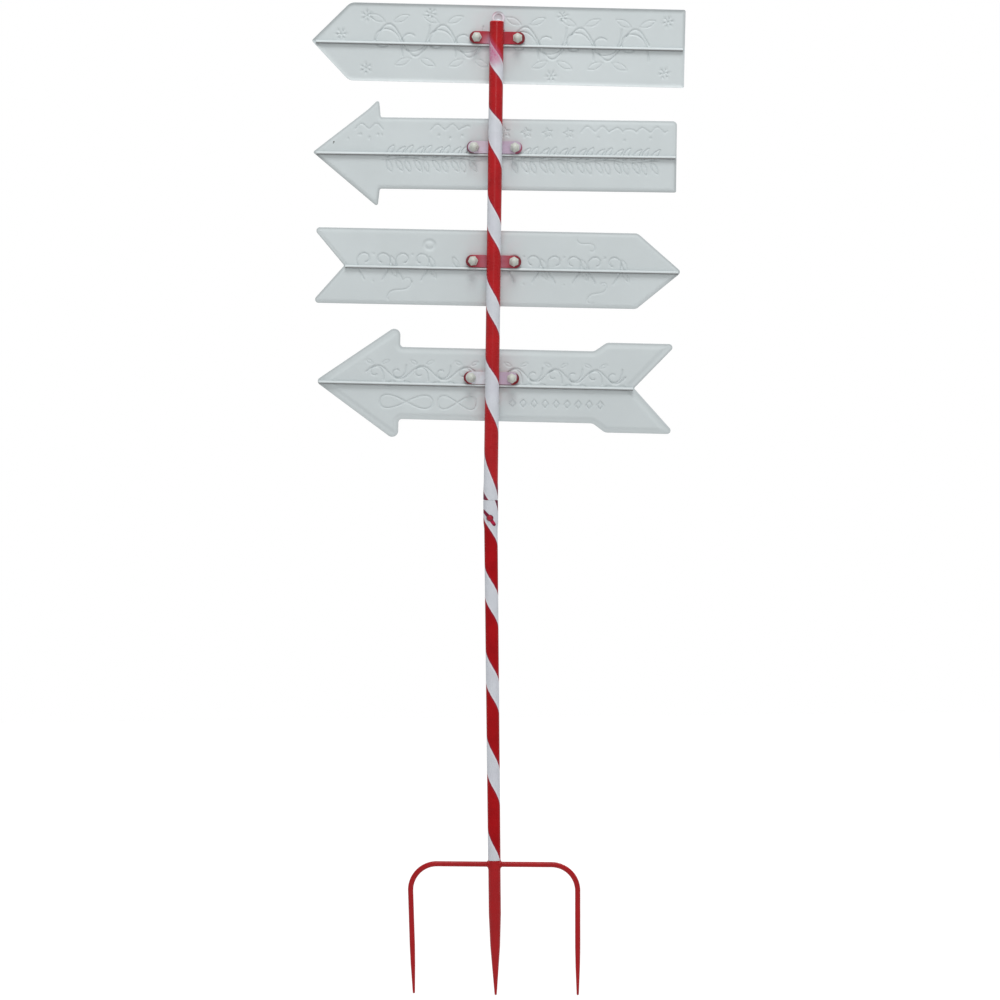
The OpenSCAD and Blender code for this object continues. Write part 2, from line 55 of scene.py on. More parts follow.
# Sizes of the CAD model, in millimetres and degrees. Lists go from sign 1 at the top to sign 4
SIGNS = range(4)
UPPER_D, BELL_D = 16.0, 16.7
LOWER_HEAD_D, LOWER_FOOT_D = 15.2, 14.2
TUBE_WALL = 1.2
SEAM_Z, UPPER_LEN = 416.8, 539.2
UPPER_BELL, LOWER_BELL, BELL_CONE = 13.0, 25.0, 7.0
JOINT_LEAN = 1.33
BAR_Z, COLLAR_H = 5.5, 9.6
RIVET_DROP, RIVET_TURN = 20.0, -8.0
SHEET_T, SIGN_DROP = 0.8, 7.7
STRAP_T, STRAP_W, STRAP_LEN = 3.9, 14.0, 62.8
STRAP_Z = [523.5, 399.3, 270.2, 138.1]
STRAP_X = [0.7, -0.8, -0.2, -0.9]
STRAP_TILT = [0.56, 0.03, 0.38, 0.56]
BOLT_SPACING, BOLT_D, SLIP = 46.2, 5.8, 0.1
NUT_AF, NUT_HEX_H, NUT_DOME_D, NUT_H, NUT_CHAMFER = 10.0, 5.0, 8.2, 10.5, 1.2
NUT_TURN = [[0, 32], [4, 27], [8, 29], [6, 35]]
EYE_SHIFT, EYE_RISE = 1.7, 6.8

# Turned lip of sign 1, and pressed border of the others. Sign 4's is a little deeper than in the CAD
LIP_H = [1.8, 0, 0, 0]
BORDER_H = [0, 0.5, 0.5, 1.0]

# Edges of the stripe from the top down, a turn apart: height above the seam where each crosses
# the back's centre line, and how far it drops from there to the side. The second edge of each list
# of the lower pole is nearer to the photograph than in the CAD
STRIPE_SIDE = 0.21
UPPER_STRIPE = (
    [
        (580, 14), (506.6, 14.3), (433.5, 11), (328.2, 17.3),
        (234.5, 17.8), (145.1, 14.6), (27.9, 25), (-65, 20),
    ],
    [
        (570, 14), (482.3, 13), (390.9, 16.8), (293, 16.4),
        (202.4, 16.8), (96.6, 19.8), (-3, 13.7), (-105, 20),
    ],
)
LOWER_STRIPE = (
    [(105, 20), (10.8, 23.7), (-91.2, 16.1), (-187.4, 16.7), (-285.6, 18.4), (-390.9, 18.4), (-491, 20)],
    [(60, 14), (-34.9, 15.5), (-126, 16.2), (-223.4, 16.7), (-325.7, 17.6), (-427, 20), (-525, 20)],
)


# Frames of the signs and of the leaning upper pole
def turn_y(deg):
    return Matrix.Rotation(math.radians(deg), 4, "Y")


SEAM_LIFT = BELL_D / 2 * math.sin(math.radians(JOINT_LEAN))
UPPER_FRAME = Matrix.Translation((0, 0, SEAM_Z + SEAM_LIFT)) @ turn_y(JOINT_LEAN)


def sign_frame(i):
    """Frame of sign i on the middle of its strap's front: x along the sign, y up and z to the back."""
    place = Matrix.Translation((STRAP_X[i], UPPER_D / 2 + STRAP_T, STRAP_Z[i]))
    return UPPER_FRAME @ place @ turn_y(STRAP_TILT[i]) @ Matrix.Rotation(math.pi / 2, 4, "X")


def to_world(frame_matrix, points):
    """Points in metres in the scene, from points in millimetres in a frame."""
    m = np.array(frame_matrix)
    p = np.asarray(points, float)
    return (p @ m[:3, :3].T + m[:3, 3]) * MM


def world_point(frame_matrix, point):
    return to_world(frame_matrix, [point])[0]


RIVET_X = BELL_D / 2 * math.sin(math.radians(RIVET_TURN))
RIVET_Z = SEAM_Z - RIVET_DROP
EYE_CENTRE = world_point(UPPER_FRAME, [EYE_SHIFT, UPPER_D / 2, UPPER_LEN + EYE_RISE])
SHEET_BEHIND_EYE = world_point(UPPER_FRAME, [EYE_SHIFT, UPPER_D / 2 + STRAP_T, UPPER_LEN + EYE_RISE])

# Colours of the paints
RED = (0.375, 0.006, 0.009)
WHITE = (0.60, 0.625, 0.67)
SHEET = (0.575, 0.625, 0.635)
NUT = (0.55, 0.575, 0.525)
PINK = (0.48, 0.11, 0.22)
MAROON = (0.19, 0.014, 0.04)
CRIMSON = (0.385, 0.018, 0.034)
# Painted shade on the tube's sides near the seam
SIDE_SHADE_RED = (0.135, 0.014, 0.04)
LILAC = (0.58, 0.54, 0.64)
THIN_WHITE = (0.50, 0.155, 0.275)
# Painted highlight along the stripe's edges
HIGHLIGHT_WHITE = (0.76, 0.73, 0.77)
STREAK_FOOT = (0.42, 0.02, 0.06)
HAZE = (0.62, 0.42, 0.48)
# Painted shade on the rods' undersides
UNDERSIDE_SHADE = (0.20, 0.20, 0.20)

# Marks on the backs of the sheets, as (place, radius, colour): a black speck on sign 2 with a greyer
# one beside it, and a patch of painted light on the sheet behind the hanging eye, which lightens its shade
MARKS = [
    (world_point(sign_frame(1), [-182.0, 4.2, 0.0]), 1.1, (0.06, 0.06, 0.05)),
    (world_point(sign_frame(1), [-182.6, 2.8, 0.0]), 0.8, (0.16, 0.17, 0.17)),
    # Painted light: lightens the eye's shadow on the sheet seen through its hole
    (SHEET_BEHIND_EYE, 7.0, (0.90, 0.97, 1.0)),
]

# Height of the fine unevenness of sprayed paint, and of the step at the stripe's edge
PEEL_HEIGHT = 0.2 * MM
RIDGE_HEIGHT = 0.15 * MM


# Materials
class Shader:
    """A principled material and a short way to wire nodes into it."""

    def __init__(self, name):
        self.mat = bpy.data.materials.new(name)
        self.mat.use_nodes = True
        self.nodes = self.mat.node_tree.nodes
        self.links = self.mat.node_tree.links
        self.bsdf = self.nodes["Principled BSDF"]
        self.coord = self.node("ShaderNodeTexCoord").outputs["Object"]
        self.xyz = self.node("ShaderNodeSeparateXYZ", self.coord)

    def node(self, kind, *inputs, **props):
        n = self.nodes.new(kind)
        for key, value in props.items():
            setattr(n, key, value)
        for k, value in enumerate(inputs):
            self.put(n.inputs[k], value)
        return n

    def put(self, socket, value):
        if value is None:
            return
        if isinstance(value, bpy.types.Node):
            value = value.outputs[0]
        if isinstance(value, bpy.types.NodeSocket):
            self.links.new(value, socket)
        elif hasattr(socket.default_value, "__len__") and len(value) == 3 and len(socket.default_value) == 4:
            socket.default_value = (*value, 1)
        else:
            socket.default_value = value

    def math(self, op, a, b=None):
        return self.node("ShaderNodeMath", a, b, operation=op)

    def times(self, product, *factors):
        for factor in factors:
            product = self.math("MULTIPLY", product, factor)
        return product

    def less(self, a, b):
        return self.math("SUBTRACT", a, b)

    def ramp(self, value, low, high, out_low=0.0, out_high=1.0):
        n = self.node("ShaderNodeMapRange", value, low, high, out_low, out_high)
        n.interpolation_type = "SMOOTHSTEP"
        return n

    def fade(self, length, low, high, out_low=0.0, out_high=1.0):
        """Ramp over a length in the scene, with its ends given in millimetres."""
        return self.ramp(length, low * MM, high * MM, out_low, out_high)

    def noise(self, scale, detail=3.0, rough=0.55, coord=None):
        n = self.nodes.new("ShaderNodeTexNoise")
        self.put(n.inputs["Vector"], coord or self.coord)
        n.inputs["Scale"].default_value = scale
        n.inputs["Detail"].default_value = detail
        n.inputs["Roughness"].default_value = rough
        return n.outputs["Fac"]

    def mix(self, fac, a, b):
        n = self.nodes.new("ShaderNodeMix")
        n.data_type = "RGBA"
        self.put(n.inputs["Factor"], fac)
        self.put(n.inputs["A"], a)
        self.put(n.inputs["B"], b)
        return n.outputs["Result"]

    def bump(self, height, strength, distance, under=None):
        n = self.nodes.new("ShaderNodeBump")
        n.inputs["Strength"].default_value = strength
        n.inputs["Distance"].default_value = distance
        self.put(n.inputs["Height"], height)
        if under is not None:
            self.put(n.inputs["Normal"], under)
        return n.outputs["Normal"]

    def attribute(self, name):
        return self.node("ShaderNodeAttribute", attribute_name=name).outputs["Fac"]

    def normal(self, axis):
        geometry = self.node("ShaderNodeNewGeometry")
        return self.node("ShaderNodeSeparateXYZ", geometry.outputs["Normal"]).outputs[axis]

    def offsets(self, point):
        """How far to the right of a point and above it, seen from the back."""
        across = self.less(self.xyz.outputs["X"], float(point[0]))
        up = self.less(self.xyz.outputs["Z"], float(point[2]))
        return across, up

    def length(self, across, up):
        return self.math("SQRT", self.math("ADD", self.times(across, across), self.times(up, up)))

    def finish(self, colour, rough=(0.34, 0.46), peel=0.10, specular=0.4, ridge=None):
        self.put(self.bsdf.inputs["Base Color"], colour)
        self.put(self.bsdf.inputs["Roughness"], self.ramp(self.noise(180.0), 0.3, 0.7, *rough))
        self.bsdf.inputs["Specular IOR Level"].default_value = specular
        normal = self.bump(self.noise(1400.0, 2.0), peel, PEEL_HEIGHT)
        if ridge is not None:
            normal = self.bump(ridge, 0.5, RIDGE_HEIGHT, normal)
        self.put(self.bsdf.inputs["Normal"], normal)
        return self.mat


def scaled(colour, factor):
    return tuple(min(1.0, c * factor) for c in colour)


def mottled(s, colour, amount=0.06, scale=38.0):
    """Colour that drifts a little over the surface, as sprayed paint does."""
    fine = s.ramp(s.noise(scale, 4.0), 0.3, 0.7)
    return s.mix(fine, scaled(colour, 1 - amount), scaled(colour, 1 + amount))


def plain_paint(name, colour, **finish):
    s = Shader(name)
    return s.finish(mottled(s, colour), **finish)


def sheet_paint():
    """White sheet paint: greyer where it pooled, hazed by the pole's paint, with painted shade along the
    rim, marked, and with a patch of painted light behind the hanging eye.
    """
    s = Shader("sheet_paint")
    body = mottled(s, SHEET, 0.025, 14.0)
    pool = s.ramp(s.noise(5.0, 2.0), 0.42, 0.62)
    body = s.mix(s.times(pool, 0.5), body, scaled(SHEET, 0.965))
    for i in SIGNS:
        across, up = s.offsets(world_point(sign_frame(i), [0, 0, 0]))
        near = s.times(*(s.fade(s.math("ABSOLUTE", offset), 45, 10) for offset in (across, up)))
        body = s.mix(s.times(near, s.ramp(s.noise(70.0), 0.35, 0.6), 0.16), body, HAZE)
    # Painted shade along each sheet's rim
    body = s.mix(s.attribute("rim"), body, scaled(SHEET, 0.2))
    back_side = s.ramp(s.normal("Y"), 0.2, -0.2)
    for place, radius, colour in MARKS:
        away = s.node("ShaderNodeVectorMath", s.coord, tuple(place), operation="DISTANCE").outputs["Value"]
        body = s.mix(s.times(s.fade(away, radius, radius / 2), back_side), body, colour)
    return s.finish(body, rough=(0.42, 0.52), peel=0.08, specular=0.35)


def striped_paint(name, base, specular):
    """Red tube paint with the white stripe and its overspray, from the mesh's own attributes."""
    s = Shader(name)
    inside_stripe = s.attribute("edge")
    thin = s.attribute("thin")
    full = s.less(1.0, thin)
    wobble = s.times(s.less(s.noise(260.0, 3.0), 0.5), 0.8)
    edge = s.math("ADD", inside_stripe, wobble)

    # The stripe, pink where its paint is thin, with a painted highlight along its edges
    white = mottled(s, WHITE, 0.035, 60.0)
    white = s.mix(s.times(s.ramp(s.noise(22.0, 3.0), 0.45, 0.75), 0.30), white, LILAC)
    spots = s.ramp(s.ramp(s.noise(150.0, 4.0, 0.7), 0.38, 0.62), 0, 1, 0.72, 1.0)
    pink = s.times(thin, spots, s.ramp(inside_stripe, 0.4, 2.6, 0.7, 1.0))
    white = s.mix(pink, white, THIN_WHITE)
    # Painted highlight just inside the stripe's edge
    edge_highlight = s.times(s.ramp(edge, 0.1, 0.5), s.ramp(edge, 1.9, 1.0), full)
    white = s.mix(s.times(edge_highlight, 0.5), white, HIGHLIGHT_WHITE)

    # The red beside it, with the stripe's mist and a line of painted shade along the stripe
    # Painted shade darkens the red toward the tube's sides near the seam
    red = s.mix(s.attribute("dusk"), mottled(s, base, 0.10, 45.0), SIDE_SHADE_RED)
    grain = s.ramp(s.noise(2600.0, 2.0), 0.35, 0.65, 0.6, 1.0)
    mist = s.times(s.ramp(inside_stripe, -2.4, 0.3, 0.0, 0.18), grain)
    soft = s.times(s.ramp(inside_stripe, -4.5, 0.3, 0.0, 0.55), thin)
    red = s.mix(s.math("MAXIMUM", mist, soft), red, PINK)
    # Painted shade on the red just outside the stripe's edge
    shade = s.times(s.ramp(edge, -1.5, -0.6), s.ramp(edge, 0.1, -0.3), full)
    red = s.mix(s.times(shade, 0.45), red, scaled(MAROON, 0.7))

    body = s.mix(s.ramp(edge, -0.18, 0.18), red, white)
    streak = s.math("ADD", s.attribute("streak"), s.times(wobble, 0.6))
    tone = s.mix(s.attribute("streak_tone"), MAROON, STREAK_FOOT)
    body = s.mix(s.ramp(streak, -0.2, 0.2), body, tone)
    return s.finish(body, rough=(0.24, 0.34), specular=specular, ridge=s.ramp(edge, -0.25, 0.25))


def strap_paint(i):
    """Red strap with the white overspray that its place on the pole gave it."""
    s = Shader(f"strap_paint_{i + 1}")
    across, up = s.offsets(world_point(sign_frame(i), [0, 0, 0]))
    side = s.math("ABSOLUTE", across)
    left = s.fade(across, 3, -3)
    face = s.ramp(s.times(s.normal("Y"), -1.0), 0.5, 0.95)
    crimson = mottled(s, CRIMSON, 0.08, 60.0)
    ends = s.mix(s.fade(side, 21, 31), crimson, scaled(CRIMSON, 0.42))
    if i in (0, 2):
        if i == 0:
            low = s.fade(s.math("ADD", up, s.times(across, -0.35)), 11.5, -1)
            spray = s.times(s.fade(side, 23.5, 8), low, left)
            colour = (0.52, 0.30, 0.39)
        else:
            spray = s.fade(side, 26, 8, 0.04, 0.42)
            colour = (0.50, 0.27, 0.35)
        blotch = s.ramp(s.noise(160.0, 4.0), 0.3, 0.7, 0.7, 1.0)
        return s.finish(s.mix(s.times(spray, face, blotch), ends, colour), specular=0.25)

    # The paint of the stripe nearly covers the other two, but for a crescent at each end
    if i == 1:
        shift_x, shift_z = 1.0, 0.9
        ends = s.mix(left, (0.30, 0.07, 0.12), (0.17, 0.05, 0.08))
        left_white = (0.59, 0.53, 0.63)
    else:
        shift_x, shift_z = 1.9, 1.0
        left_white = (0.655, 0.675, 0.72)
    reach = STRAP_W / 2
    end = (STRAP_LEN - STRAP_W) / 2 - shift_x
    from_ends = (
        s.length(s.less(across, x * MM), s.less(up, shift_z * MM)) for x in (-end, end)
    )
    between = s.fade(side, end + 0.6, end - 0.6)
    clear = s.fade(s.math("MINIMUM", *from_ends), reach, reach * 0.86)
    pale = s.mix(left, (0.51, 0.42, 0.54), left_white)
    pale = s.mix(s.ramp(s.noise(160.0, 4.0), 0.35, 0.65, 0.12, 0.0), pale, crimson)
    return s.finish(s.mix(s.times(s.math("MAXIMUM", clear, between), face), ends, pale), specular=0.25)


def eye_paint():
    """White hanging eye with red overspray, painted shade darkening its rims, and grey on its top arc."""
    s = Shader("eye_paint")
    across, up = s.offsets(EYE_CENTRE)
    away = s.length(across, up)
    body = mottled(s, (0.72, 0.71, 0.76), 0.06, 70.0)
    body = s.mix(s.fade(across, 3, 6, 0, 0.4), body, (0.60, 0.52, 0.62))
    # Painted shade along the eye's outer and inner rims
    rims = s.math("MAXIMUM", s.fade(away, 6.4, 7.2), s.fade(away, 5.3, 4.8, 0.0, 0.4))
    body = s.mix(s.times(rims, 0.6), body, (0.36, 0.33, 0.37))
    # Grey on the eye's top arc
    body = s.mix(s.fade(up, 3.8, 5.6, 0, 0.8), body, (0.36, 0.35, 0.38))
    body = s.mix(s.fade(s.less(up, across), 7.4, 9.0, 0, 0.45), body, (0.50, 0.20, 0.30))
    return s.finish(body)


def rivet_paint():
    """Crimson rivet head, with painted shade darkening it towards its rim."""
    s = Shader("rivet_paint")
    away = s.length(*s.offsets([RIVET_X * MM, 0, RIVET_Z * MM]))
    body = mottled(s, (0.36, 0.010, 0.028), 0.08, 120.0)
    # Painted shade towards the head's rim
    body = s.mix(s.fade(away, 2.3, 3.7), body, scaled(MAROON, 0.55))
    return s.finish(body, rough=(0.28, 0.36), specular=0.25)


def rod_paint():
    """Sheet paint on the rods, with painted shade darkening their undersides."""
    s = Shader("rod_paint")
    # Painted shade where the rod faces down
    under = s.ramp(s.normal("Z"), -0.15, -0.7)
    body = s.mix(under, mottled(s, scaled(SHEET, 1.05), 0.03, 30.0), UNDERSIDE_SHADE)
    return s.finish(body, rough=(0.36, 0.46), specular=0.35)


def bare_steel():
    """Drawn steel with fine rings."""
    s = Shader("bare_steel")
    ring_coord = s.node("ShaderNodeCombineXYZ", 0.0, 0.0, s.xyz.outputs["Z"])
    lines = s.noise(900.0, 2.0, coord=ring_coord)
    s.bsdf.inputs["Metallic"].default_value = 1.0
    return s.finish(s.mix(lines, (0.46, 0.46, 0.47), (0.62, 0.62, 0.62)), rough=(0.3, 0.4), peel=0.03)


# Outlines of the signs
def both_sides(upper):
    """Corners of the upper half from left to right, mirrored below the centre line."""
    lower = [(x, -y, r) for x, y, r in reversed(upper) if y > 0]
    return upper + lower


# Corners as (x, y, radius), from the middle of the strap. Sign 4's tip is rounder than in the CAD
OUTLINES = [
    both_sides([(-210.2, 0, 2), (-166.9, 44.3, 13), (212.7, 44.3, 2)]),
    [
        (-205.9, 0, 2), (-143.5, 49.4, 22), (-131.5, 61.2, 2.2), (-129.3, 40.5, 2.2), (206.4, 40.5, 5),
        (206.4, -40.5, 2), (-129.3, -40.5, 2.2), (-131.5, -61.2, 2.2),
    ],
    both_sides([(-169.1, 0, 1.4), (-206.1, 42.9, 4), (162.7, 42.9, 8), (213.5, 0, 4)]),
    both_sides([
        (-200, 0, 4.6), (-104.2, 67.8, 7), (-104.2, 40.9, 4), (115.9, 40.9, 9), (129.9, 51, 9),
        (209.5, 51, 4), (161.8, 0, 1.4),
    ]),
]

# Largest turn between two points of a rounded corner, in degrees, and smallest radius of one
ARC_STEP = 9.0
LEAST_RADIUS = 0.04


def cross(a, b):
    return a[0] * b[1] - a[1] * b[0]


def signed_area(corners):
    return 0.5 * sum(cross(a, b) for a, b in zip(corners, corners[1:] + corners[:1]))


def ring(corners, inset):
    """Outline drawn in by inset, with rounded corners, always with the same number of points."""
    pts = np.array([c[:2] for c in corners], float)
    turn = 1.0 if signed_area(corners) > 0 else -1.0
    edges = np.roll(pts, -1, 0) - pts
    edges /= np.linalg.norm(edges, axis=1)[:, None]
    inward = np.stack([-edges[:, 1], edges[:, 0]], 1) * turn
    out = []
    for k, corner in enumerate(corners):
        n0, n1 = inward[k - 1], inward[k]
        convex = cross(edges[k - 1], edges[k]) * turn > 0
        outward = -1.0 if convex else 1.0
        radius = max(corner[2] + outward * inset, LEAST_RADIUS)
        half = (n0 + n1) / (1 + n0 @ n1)
        centre = pts[k] + half * (inset - outward * radius)
        start = math.atan2(*(outward * n0)[::-1])
        end = math.atan2(*(outward * n1)[::-1])
        sweep = (end - start + math.pi) % (2 * math.pi) - math.pi
        count = max(2, math.ceil(abs(math.degrees(sweep)) / ARC_STEP))
        for a in start + sweep * np.linspace(0, 1, count + 1):
            out.append(centre + radius * np.array([math.cos(a), math.sin(a)]))
    return np.array(out)


def split_long(points, longest):
    """Split for the long sides of a closed ring, as (index, share) pairs that fit its other rings too."""
    plan = []
    for k in range(len(points)):
        length = np.linalg.norm(points[(k + 1) % len(points)] - points[k])
        pieces = max(1, math.ceil(length / longest))
        plan += [(k, j / pieces) for j in range(pieces)]
    return plan


def apply_split(points, plan):
    nxt = np.roll(points, -1, 0)
    return np.array([points[k] * (1 - t) + nxt[k] * t for k, t in plan])


def segment_distance(points, line, reach, nearer=None):
    """Distance from each point to an open line, no more than reach.

    Where nearer is given, it holds a length for each segment, which is taken off the distance to it.
    """
    line = np.asarray(line, float)
    out = np.full(len(points), reach)
    low, high = line.min(0) - reach, line.max(0) + reach
    near = np.where(((points > low) & (points < high)).all(1))[0]
    p = points[near]
    best = np.full(len(p), reach)
    for k, (a, b) in enumerate(zip(line[:-1], line[1:])):
        ab = b - a
        t = np.clip(((p - a) @ ab) / max(ab @ ab, 1e-9), 0, 1)
        off = 0 if nearer is None else nearer[k]
        best = np.minimum(best, np.hypot(*(p - a - t[:, None] * ab).T) - off)
    out[near] = best
    return out


def inside(points, poly):
    x, y = points.T
    hit = np.zeros(len(points), bool)
    for (x0, y0), (x1, y1) in zip(poly, np.roll(poly, -1, 0)):
        if y0 != y1:
            crossing = x0 + (y - y0) * (x1 - x0) / (y1 - y0)
            hit ^= ((y0 > y) != (y1 > y)) & (x < crossing)
    return hit


# Lines of the pressed ornaments, in millimetres and degrees
def turned(points, deg, place):
    """Points turned about the origin, then moved to a place."""
    c, d = math.cos(math.radians(deg)), math.sin(math.radians(deg))
    return points @ np.array([[c, d], [-d, c]]) + np.array(place, float)


def clothoid(centre, size, angle, flip, start, end, count):
    """Scroll whose curvature grows evenly from its middle, so that its ends curl up."""
    fine = np.linspace(start, end, 2400)
    step = fine[1] - fine[0]
    x = np.cumsum(np.cos(fine**2 / 2)) * step
    y = np.cumsum(np.sin(fine**2 / 2)) * step
    s = np.linspace(start, end, count)
    p = np.stack([np.interp(s, fine, x), np.interp(s, fine, y) * flip], 1)
    p -= (p.max(0) + p.min(0)) / 2
    p *= size / np.ptp(p, axis=0).max()
    return turned(p, angle, centre)


def flake(centre, radius, turn):
    """Six-armed snowflake with two short twigs on each arm."""
    centre = np.array(centre)
    lines = []
    for k in range(3):
        a = math.radians(turn + 60 * k)
        d = np.array([math.cos(a), math.sin(a)]) * radius
        lines.append(np.array([centre - d, centre + d]))
        for side in (-1, 1):
            for lean in (-40, 40):
                b = a + math.radians(lean)
                root = centre + d * side * 0.55
                twig = np.array([math.cos(b), math.sin(b)]) * side * radius * 0.33
                lines.append(np.array([root, root + twig]))
    return lines


def star(centre, radius, turn):
    """Closed five-pointed star."""
    pts = []
    for k in range(11):
        a = math.radians(turn + 90 + 36 * k)
        r = radius if k % 2 == 0 else radius * 0.42
        pts.append([centre[0] + r * math.cos(a), centre[1] + r * math.sin(a)])
    return np.array(pts)


def diamond(x, y, half_w, half_h):
    return np.array([[x - half_w, y], [x, y + half_h], [x + half_w, y], [x, y - half_h], [x - half_w, y]])


def dot(x, y):
    return np.array([[x - 0.01, y], [x + 0.01, y]])


def oval(centre, rx, ry):
    a = 2 * math.pi * np.linspace(0, 1, 28)
    return np.stack([centre[0] + rx * np.cos(a), centre[1] + ry * np.sin(a)], 1)


def leaf(root, length, angle):
    """Pointed oval that grows from its root."""
    t = np.linspace(0, 1, 12)
    side = 0.18 * length * np.sin(math.pi * t) ** 0.8
    there = np.column_stack([t * length, side])
    back = np.column_stack([t[::-1] * length, -side[::-1]])
    return turned(np.vstack([there, back]), angle, root)


class Ornament:
    """Pressed lines of one sign, each as (line, width, depth)."""

    # Every line is pressed this much deeper than its own figure says
    DEEPER = 1.3

    def __init__(self):
        self.lines = []

    def add(self, line, width, depth):
        self.lines.append((np.asarray(line, float), width, depth * self.DEEPER))

    def vine(self, x0, x1, middle, rise, period, curl, width):
        """Wavy stem with a curl in every bow and two leaves outside it."""
        count = max(1, round((x1 - x0) / period * 2))
        x = np.linspace(x0, x1, 30 * count)
        phase = (x - x0) / (x1 - x0) * count * math.pi
        self.add(np.column_stack([x, middle + rise * np.sin(phase)]), width, 0.8)
        for k in range(count):
            cx = x0 + (x1 - x0) * (k + 0.5) / count
            up = 1 if k % 2 == 0 else -1
            scroll = clothoid((cx, middle - up * rise * 0.15), curl, 90 * up, up, 0.15, 3.3, 34)
            self.add(scroll, width * 0.9, 0.75)
            root_y = middle + up * (rise + 2.5)
            self.add(leaf((cx + 5, root_y), curl * 0.62, 24 * up), 2.0, 0.5)
            self.add(leaf((cx - 5, root_y), curl * 0.62, 180 - 24 * up), 2.0, 0.5)


def sign1_ornament():
    """Snowflakes, and a leafy vine on each side of the pole."""
    o = Ornament()
    flakes = [
        (-148, 22), (-75.7, 26), (-177, 0.6), (-148, -37.3), (73.5, 26), (193, 22.3), (62, -42), (190, -36),
    ]
    for x, y in flakes:
        for line in flake((x, y), 7.6, turn=x):
            o.add(line, 2.0, 0.42)
    for x0, x1 in [(-138, -16), (16, 172)]:
        o.vine(x0, x1, middle=-5, rise=18, period=62, curl=31, width=3.4)
    return o.lines


def sign2_ornament():
    """Scallops with dots, a row of stars, and a garland of leaves."""
    o = Ornament()
    garland_y = -13.5
    for x0, x1 in [(-158, -126), (-72, -28), (98, 196)]:
        x = np.arange(x0, x1, 0.8)
        bows = np.abs(np.sin((x - x0) * 0.2)) * (5.0 + 1.5 * np.sin((x - x0) * 0.31))
        o.add(np.stack([x, 19 + bows], 1), 3.0, 0.6)
        for k in range(3):
            o.add(dot(x0 + (x1 - x0) * (0.2 + 0.3 * k), 13 - 3 * (k % 2)), 4.4, 0.8)
    for k, x in enumerate((-166, -154, -142, -128)):
        o.add(dot(x, 8 + 5 * (k % 2)), 3.6, 0.7)
    for x in (12, 36, 60, 84):
        o.add(star((x, 17), 6.2, turn=12), 2.0, 0.65)
    for x0, x1 in [(-128, -14), (14, 186)]:
        x = np.linspace(x0, x1, 120)
        o.add(np.column_stack([x, garland_y + 1.6 * np.sin(x / 9)]), 2.6, 0.6)
        for k, cx in enumerate(np.arange(x0 + 6, x1 - 8, 10.5)):
            up = 1 if k % 2 == 0 else -1
            o.add(leaf((cx, garland_y + 1.5 * up), 15.5, 58 * up), 2.2, 0.7)
            o.add(leaf((cx, garland_y - 1.5 * up), 15.5, -58 * up - 10), 2.2, 0.7)
    return o.lines


def sign3_ornament():
    """Pairs of scrolls with dots and leaves, a ring above them and three loose scrolls."""
    o = Ornament()
    o.add(oval((-73, 17.5), 5.5, 4.8), 6.5, 0.8)
    for cx in (-136, -92, 34, 80, 126):
        for flip in (-1, 1):
            scroll = clothoid((cx + 9.5 * flip, -7), 27, 90 - 30 * flip, flip, -0.6, 3.2, 30)
            o.add(scroll, 3.0, 0.75)
        o.add(dot(cx, 6), 4.0, 0.7)
        o.add(dot(cx, -25), 3.6, 0.6)
        o.add(leaf((cx + 19, 4), 14, -64), 2.2, 0.6)
        o.add(leaf((cx + 27, -20), 14, 116), 2.2, 0.6)
    o.add(leaf((-46, 4), 14, -64), 2.2, 0.6)
    o.add(clothoid((118, -34), 24, 8, 1, -2.8, 2.8, 36), 2.6, 0.55)
    o.add(clothoid((-106, -34), 28, 4, 1, -2.8, 2.8, 36), 2.8, 0.65)
    o.add(clothoid((104, 22), 20, 4, -1, -2.8, 2.8, 36), 2.4, 0.5)
    return o.lines


def sign4_ornament():
    """A leafy vine on each side of the pole, two looped bands and a row of diamonds."""
    o = Ornament()
    for x0, x1 in [(-142, -16), (16, 152)]:
        o.vine(x0, x1, middle=4, rise=7.5, period=46, curl=15, width=3.0)
    t = np.linspace(0, 2 * math.pi, 90)
    for cx, wide, flip in ((-96, 30, 1), (-38, 22, -1)):
        o.add(np.column_stack([cx + wide * np.sin(t), -29 + flip * 7.5 * np.sin(2 * t)]), 2.8, 0.7)
    for k in range(9):
        o.add(diamond(24 + 12.5 * k, -28, 3.8, 4.4), 2.2, 0.8)
    return o.lines


ORNAMENTS = [sign1_ornament, sign2_ornament, sign3_ornament, sign4_ornament]


# Meshes
SHARP_ANGLE = 38


def mesh_object(name, verts, faces, material, attributes=None):
    mesh = bpy.data.meshes.new(name)
    mesh.from_pydata([tuple(v) for v in verts], [], faces)
    for key, values in (attributes or {}).items():
        layer = mesh.attributes.new(key, "FLOAT", "POINT")
        layer.data.foreach_set("value", np.asarray(values, np.float32))
    mesh.update()
    mesh.polygons.foreach_set("use_smooth", [True] * len(mesh.polygons))
    mesh.set_sharp_from_angle(angle=math.radians(SHARP_ANGLE))
    obj = bpy.data.objects.new(name, mesh)
    bpy.context.scene.collection.objects.link(obj)
    mesh.materials.append(material)
    return obj


def band(low, high, around):
    """Quads between two rings of around points each, given by their numbers."""
    quads = []
    for j in range(around):
        m = (j + 1) % around
        quads.append((low * around + j, low * around + m, high * around + m, high * around + j))
    return quads


def smoothstep(x):
    x = np.clip(x, 0, 1)
    return x * x * (3 - 2 * x)


# Pressed sheets of the signs

# Longest step along a sheet's edge, step of the grid and how far it keeps off the edge, and the rows
# of points between the two, with the least room between two of them
SPLIT_LENGTH = 1.6
GRID = 1.0
GRID_MARGIN = 5.4
ROW_INSETS = (1.2, 2.0, 2.8, 3.6, 4.5)
LEAST_SPACING = 0.5

# Depth of the rounding along the edge, the turns of its points, and width of the turned lip
EDGE_EASE = 0.5
EDGE_TURNS = np.radians([55, 20, -20, -55])
LIP_WIDTH = 4.8

